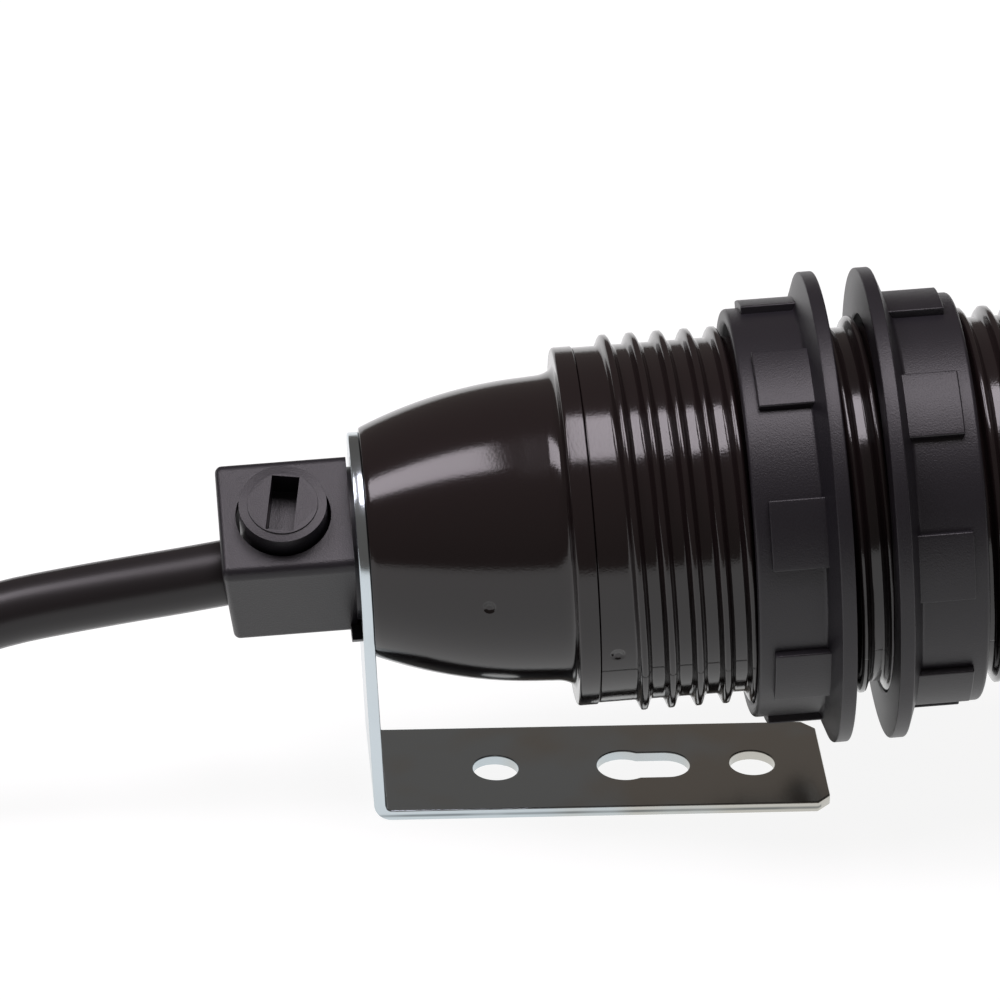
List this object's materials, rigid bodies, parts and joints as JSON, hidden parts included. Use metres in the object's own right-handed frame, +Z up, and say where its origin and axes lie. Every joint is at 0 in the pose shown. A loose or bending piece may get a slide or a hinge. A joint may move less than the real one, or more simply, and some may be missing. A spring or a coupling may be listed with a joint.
{
  "type": "lamp holder",
  "caption": "Screw-lamp holder with a threaded barrel, two shade rings, a domed cap and a square cord grip on a bent steel bracket, with its coiled lead and flat plug.",
  "frame": {"origin": "underside of the bracket's base, midway between its two round screw holes", "axes": "+X along the base towards the lamp mouth, +Y away from the clamp screw's side, +Z up"},
  "size_m": [0.2493, 0.045, 0.0404],
  "materials": {
    "zinc_plated_steel": "bright zinc plate",
    "gloss_black_phenolic": "gloss moulded",
    "satin_black_nylon": "satin, fine spark texture",
    "insulator_moulding": "matt moulded",
    "contact_brass": "pressed strip",
    "screw_steel": "plated",
    "brown_core": "extruded",
    "blue_core": "extruded",
    "black_sheath": "smooth extruded sheath",
    "tie_strap": "matt strap",
    "plug_moulding": "moulded",
    "plated_pins": "nickel plate"
  },
  "bodies": {
    "holder": {"bracket": "zinc_plated_steel", "cord_grip": "satin_black_nylon", "cap": "gloss_black_phenolic", "insulator": "insulator_moulding", "lamp_sleeve": "contact_brass", "live_terminal": "contact_brass", "neutral_terminal": "contact_brass", "centre_contact": "contact_brass", "contact_rivet": "contact_brass", "live_core": "brown_core", "neutral_core": "blue_core", "cord_lead": "black_sheath", "cord_coil": "black_sheath", "coil_tie": "tie_strap", "cord_tail": "black_sheath", "plug_body": "plug_moulding", "plug_pins": "plated_pins"},
    "barrel": {"shell": "gloss_black_phenolic"},
    "inner_ring": {"inner_shade_ring": "satin_black_nylon"},
    "outer_ring": {"outer_shade_ring": "satin_black_nylon"},
    "clamp_screw": {"grip_screw": "satin_black_nylon"},
    "live_screw": {"live_terminal_screw": "screw_steel"},
    "neutral_screw": {"neutral_terminal_screw": "screw_steel"}
  },
  "joints": [
    {"name": "shell_unscrew", "type": "slide", "parent": "holder", "child": "barrel", "axis": [0.9976, 0, 0.0698], "range_m": [0, 0.006]},
    {"name": "inner_ring_travel", "type": "slide", "parent": "barrel", "child": "inner_ring", "axis": [0.9976, 0, 0.0698], "range_m": [-0.008, 0.002]},
    {"name": "outer_ring_travel", "type": "slide", "parent": "barrel", "child": "outer_ring", "axis": [0.9976, 0, 0.0698], "range_m": [0, 0.018]},
    {"name": "clamp_screw_turn", "type": "hinge", "parent": "holder", "child": "clamp_screw", "pos_m": [-0.02551, 0, 0.0201], "axis": [-0.0607, -0.4924, 0.8682], "range_deg": [-180, 180]},
    {"name": "live_screw_turn", "type": "hinge", "parent": "holder", "child": "live_screw", "pos_m": [-0.00251, 0, 0.02171], "axis": [0, 1, 0], "range_deg": [-180, 180]},
    {"name": "neutral_screw_turn", "type": "hinge", "parent": "holder", "child": "neutral_screw", "pos_m": [-0.00251, 0, 0.02171], "axis": [0, -1, 0], "range_deg": [-180, 180]}
  ]
}
